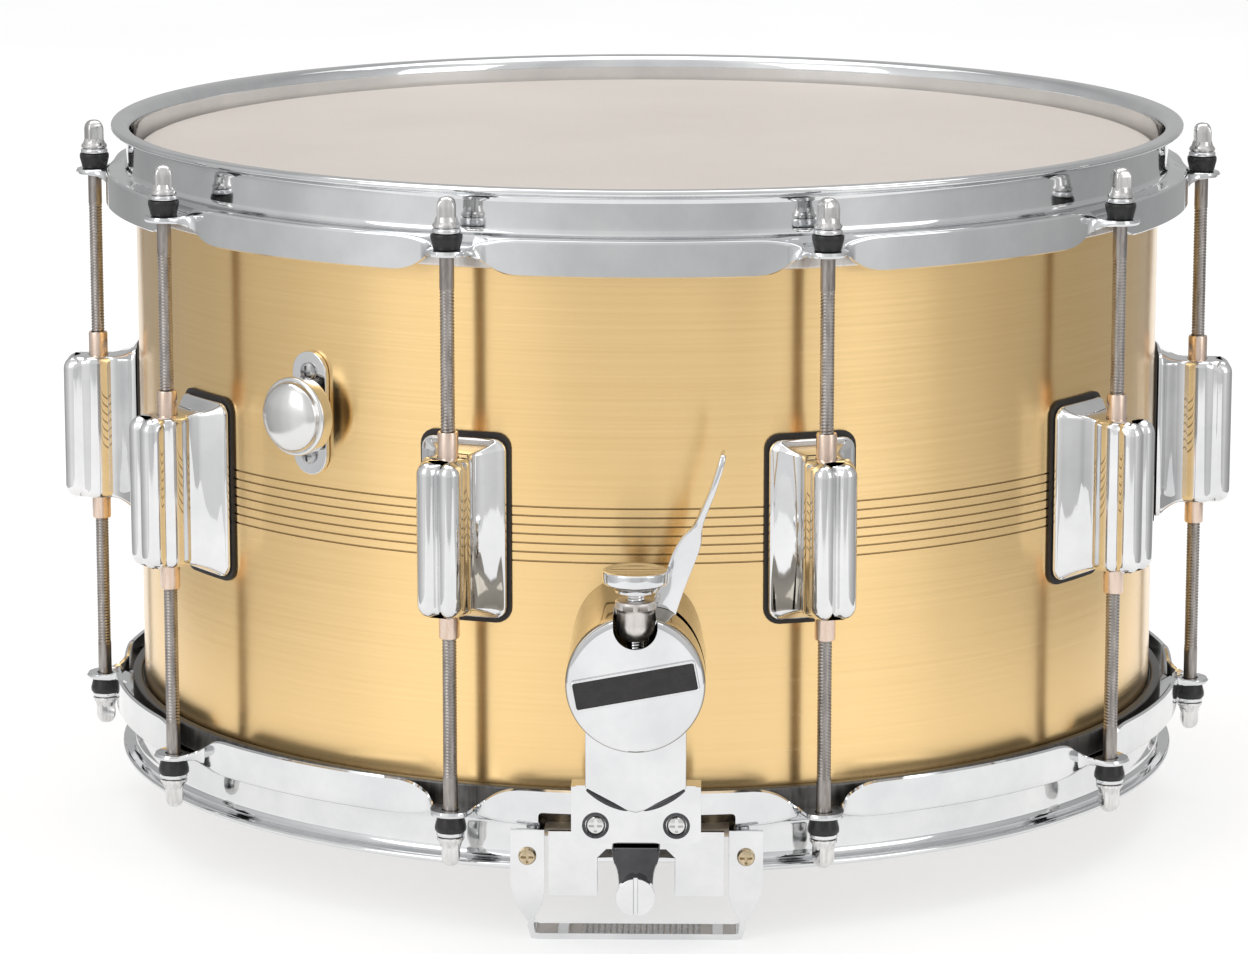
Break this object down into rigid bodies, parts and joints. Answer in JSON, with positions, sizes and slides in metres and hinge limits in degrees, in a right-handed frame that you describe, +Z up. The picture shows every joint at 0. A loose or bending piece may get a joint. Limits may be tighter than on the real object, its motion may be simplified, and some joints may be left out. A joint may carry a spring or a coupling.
{
  "type": "snare drum",
  "caption": "Deep snare drum with a lined brass shell, chrome hoops, tube-like lugs, tension rods, throw-off strainer, snare frame, guards and muffler.",
  "frame": {"origin": "on the drum's axis, in the plane of the undersides of the two snare guards, on which the drum stands", "axes": "+Z up along the drum's axis, -Y towards the strainer side (the front), +X to the right seen from the front"},
  "size_m": [0.4108, 0.4285, 0.242],
  "materials": {
    "shell_brass": "lacquered raw brass, brushed round the shell",
    "chrome": "polished chrome plate",
    "batter_film": "coated polyester film",
    "flesh_hoop_metal": "satin aluminium",
    "snare_film": "clear, slightly hazy polyester film",
    "hoop_chrome": "polished chrome plate",
    "lug_chrome": "polished chrome plate",
    "gasket_black": "matt black",
    "zinc_screw": "zinc-plated steel",
    "swivel_nut": "polished, pinkish",
    "washer_chrome": "polished chrome plate",
    "nylon_black": "matt black nylon",
    "strainer_chrome": "polished chrome plate",
    "label_black": "blank black panel in a bright frame",
    "lever_chrome": "polished chrome plate",
    "knob_chrome": "polished chrome plate",
    "frame_chrome": "polished chrome plate",
    "snare_wire": "bright steel wire",
    "guard_chrome": "polished chrome plate",
    "screw_brassy": "dull brass-coloured screw",
    "felt_grey": "grey-beige felt",
    "rod_steel": "plated steel with rolled thread"
  },
  "bodies": {
    "drum": {"shell": "shell_brass", "vent_grommet": "chrome", "batter_head": "batter_film", "batter_flesh_hoop": "flesh_hoop_metal", "snare_head": "snare_film", "snare_flesh_hoop": "flesh_hoop_metal", "top_hoop": "hoop_chrome", "bottom_hoop": "hoop_chrome", "lug_casings": "lug_chrome", "lug_gaskets": "gasket_black", "lug_screws": "zinc_screw", "lug_springs": "zinc_screw", "swivel_nuts": "swivel_nut", "cup_washers": "washer_chrome", "nylon_washers": "nylon_black", "strainer_housing": "strainer_chrome", "strainer_face": "strainer_chrome", "label_plate": "label_black", "lever_pivot": "zinc_screw", "height_nut": "knob_chrome", "strainer_screws": "zinc_screw", "butt_bracket": "strainer_chrome", "butt_pin": "zinc_screw", "butt_screws": "zinc_screw", "snare_guards": "guard_chrome", "guard_screws": "screw_brassy", "muffler_plate": "strainer_chrome", "muffler_screws": "zinc_screw", "muffler_bracket": "zinc_screw"},
    "throw_off_lever": {"strainer_lever": "lever_chrome"},
    "snare_carriage": {"snare_carriage": "strainer_chrome", "carriage_screws": "zinc_screw"},
    "snare_frame": {"snare_frame": "frame_chrome", "snare_wires": "snare_wire"},
    "height_knob": {"height_knob": "knob_chrome"},
    "tension_screw": {"tension_screw": "knob_chrome"},
    "muffler_knob": {"muffler_knob": "knob_chrome"},
    "muffler_arm": {"muffler_arm": "zinc_screw", "muffler_pad": "felt_grey"},
    "top_tension_rod_1": {"top_tension_rod_1": "rod_steel"},
    "top_tension_rod_2": {"top_tension_rod_2": "rod_steel"},
    "top_tension_rod_3": {"top_tension_rod_3": "rod_steel"},
    "top_tension_rod_4": {"top_tension_rod_4": "rod_steel"},
    "top_tension_rod_5": {"top_tension_rod_5": "rod_steel"},
    "top_tension_rod_6": {"top_tension_rod_6": "rod_steel"},
    "top_tension_rod_7": {"top_tension_rod_7": "rod_steel"},
    "top_tension_rod_8": {"top_tension_rod_8": "rod_steel"},
    "top_tension_rod_9": {"top_tension_rod_9": "rod_steel"},
    "top_tension_rod_10": {"top_tension_rod_10": "rod_steel"},
    "bottom_tension_rod_1": {"bottom_tension_rod_1": "rod_steel"},
    "bottom_tension_rod_2": {"bottom_tension_rod_2": "rod_steel"},
    "bottom_tension_rod_3": {"bottom_tension_rod_3": "rod_steel"},
    "bottom_tension_rod_4": {"bottom_tension_rod_4": "rod_steel"},
    "bottom_tension_rod_5": {"bottom_tension_rod_5": "rod_steel"},
    "bottom_tension_rod_6": {"bottom_tension_rod_6": "rod_steel"},
    "bottom_tension_rod_7": {"bottom_tension_rod_7": "rod_steel"},
    "bottom_tension_rod_8": {"bottom_tension_rod_8": "rod_steel"},
    "bottom_tension_rod_9": {"bottom_tension_rod_9": "rod_steel"},
    "bottom_tension_rod_10": {"bottom_tension_rod_10": "rod_steel"}
  },
  "joints": [
    {"name": "lever_throw", "type": "hinge", "parent": "drum", "child": "throw_off_lever", "pos_m": [0, -0.1995, 0.09], "axis": [0, 1, 0], "range_deg": [0, 69]},
    {"name": "carriage_drop", "type": "slide", "parent": "drum", "child": "snare_carriage", "axis": [0, 0, 1], "range_m": [-0.0062, 0]},
    {"name": "snare_frame_tilt", "type": "hinge", "parent": "drum", "child": "snare_frame", "pos_m": [0, 0.1992, 0.0335], "axis": [1, 0, 0], "range_deg": [0, 0.9]},
    {"name": "height_adjust", "type": "hinge", "parent": "drum", "child": "height_knob", "pos_m": [0, -0.206, 0.1215], "axis": [0, 0, 1], "continuous": true},
    {"name": "wire_tension", "type": "hinge", "parent": "snare_frame", "child": "tension_screw", "pos_m": [0, -0.205, 0.0193], "axis": [0, 1, 0], "continuous": true},
    {"name": "muffler_turn", "type": "hinge", "parent": "drum", "child": "muffler_knob", "pos_m": [-0.10576, -0.14293, 0.1632], "axis": [-0.5948, -0.8039, 0], "range_deg": [0, 120]},
    {"name": "muffler_swing", "type": "hinge", "parent": "drum", "child": "muffler_arm", "pos_m": [-0.09922, -0.13408, 0.1832], "axis": [0.8039, -0.5948, 0], "range_deg": [0, 12.2]},
    {"name": "top_rod_turn_1", "type": "hinge", "parent": "drum", "child": "top_tension_rod_1", "pos_m": [0.05976, -0.18393, 0.2265], "axis": [0, 0, 1], "continuous": true},
    {"name": "top_rod_turn_2", "type": "hinge", "parent": "drum", "child": "top_tension_rod_2", "pos_m": [0.15646, -0.11368, 0.2265], "axis": [0, 0, 1], "continuous": true},
    {"name": "top_rod_turn_3", "type": "hinge", "parent": "drum", "child": "top_tension_rod_3", "pos_m": [0.1934, 0, 0.2265], "axis": [0, 0, 1], "continuous": true},
    {"name": "top_rod_turn_4", "type": "hinge", "parent": "drum", "child": "top_tension_rod_4", "pos_m": [0.15646, 0.11368, 0.2265], "axis": [0, 0, 1], "continuous": true},
    {"name": "top_rod_turn_5", "type": "hinge", "parent": "drum", "child": "top_tension_rod_5", "pos_m": [0.05976, 0.18393, 0.2265], "axis": [0, 0, 1], "continuous": true},
    {"name": "top_rod_turn_6", "type": "hinge", "parent": "drum", "child": "top_tension_rod_6", "pos_m": [-0.05976, 0.18393, 0.2265], "axis": [0, 0, 1], "continuous": true},
    {"name": "top_rod_turn_7", "type": "hinge", "parent": "drum", "child": "top_tension_rod_7", "pos_m": [-0.15646, 0.11368, 0.2265], "axis": [0, 0, 1], "continuous": true},
    {"name": "top_rod_turn_8", "type": "hinge", "parent": "drum", "child": "top_tension_rod_8", "pos_m": [-0.1934, 0, 0.2265], "axis": [0, 0, 1], "continuous": true},
    {"name": "top_rod_turn_9", "type": "hinge", "parent": "drum", "child": "top_tension_rod_9", "pos_m": [-0.15646, -0.11368, 0.2265], "axis": [0, 0, 1], "continuous": true},
    {"name": "top_rod_turn_10", "type": "hinge", "parent": "drum", "child": "top_tension_rod_10", "pos_m": [-0.05976, -0.18393, 0.2265], "axis": [0, 0, 1], "continuous": true},
    {"name": "bottom_rod_turn_1", "type": "hinge", "parent": "drum", "child": "bottom_tension_rod_1", "pos_m": [0.05976, -0.18393, 0.0365], "axis": [0, 0, 1], "continuous": true},
    {"name": "bottom_rod_turn_2", "type": "hinge", "parent": "drum", "child": "bottom_tension_rod_2", "pos_m": [0.15646, -0.11368, 0.0365], "axis": [0, 0, 1], "continuous": true},
    {"name": "bottom_rod_turn_3", "type": "hinge", "parent": "drum", "child": "bottom_tension_rod_3", "pos_m": [0.1934, 0, 0.0365], "axis": [0, 0, 1], "continuous": true},
    {"name": "bottom_rod_turn_4", "type": "hinge", "parent": "drum", "child": "bottom_tension_rod_4", "pos_m": [0.15646, 0.11368, 0.0365], "axis": [0, 0, 1], "continuous": true},
    {"name": "bottom_rod_turn_5", "type": "hinge", "parent": "drum", "child": "bottom_tension_rod_5", "pos_m": [0.05976, 0.18393, 0.0365], "axis": [0, 0, 1], "continuous": true},
    {"name": "bottom_rod_turn_6", "type": "hinge", "parent": "drum", "child": "bottom_tension_rod_6", "pos_m": [-0.05976, 0.18393, 0.0365], "axis": [0, 0, 1], "continuous": true},
    {"name": "bottom_rod_turn_7", "type": "hinge", "parent": "drum", "child": "bottom_tension_rod_7", "pos_m": [-0.15646, 0.11368, 0.0365], "axis": [0, 0, 1], "continuous": true},
    {"name": "bottom_rod_turn_8", "type": "hinge", "parent": "drum", "child": "bottom_tension_rod_8", "pos_m": [-0.1934, 0, 0.0365], "axis": [0, 0, 1], "continuous": true},
    {"name": "bottom_rod_turn_9", "type": "hinge", "parent": "drum", "child": "bottom_tension_rod_9", "pos_m": [-0.15646, -0.11368, 0.0365], "axis": [0, 0, 1], "continuous": true},
    {"name": "bottom_rod_turn_10", "type": "hinge", "parent": "drum", "child": "bottom_tension_rod_10", "pos_m": [-0.05976, -0.18393, 0.0365], "axis": [0, 0, 1], "continuous": true}
  ],
  "couplings": [
    {"joint": "carriage_drop", "follows": "lever_throw", "m_per_rad": -0.004982},
    {"joint": "snare_frame_tilt", "follows": "lever_throw", "ratio": 0.012639},
    {"joint": "muffler_swing", "follows": "muffler_turn", "ratio": 0.1}
  ]
}
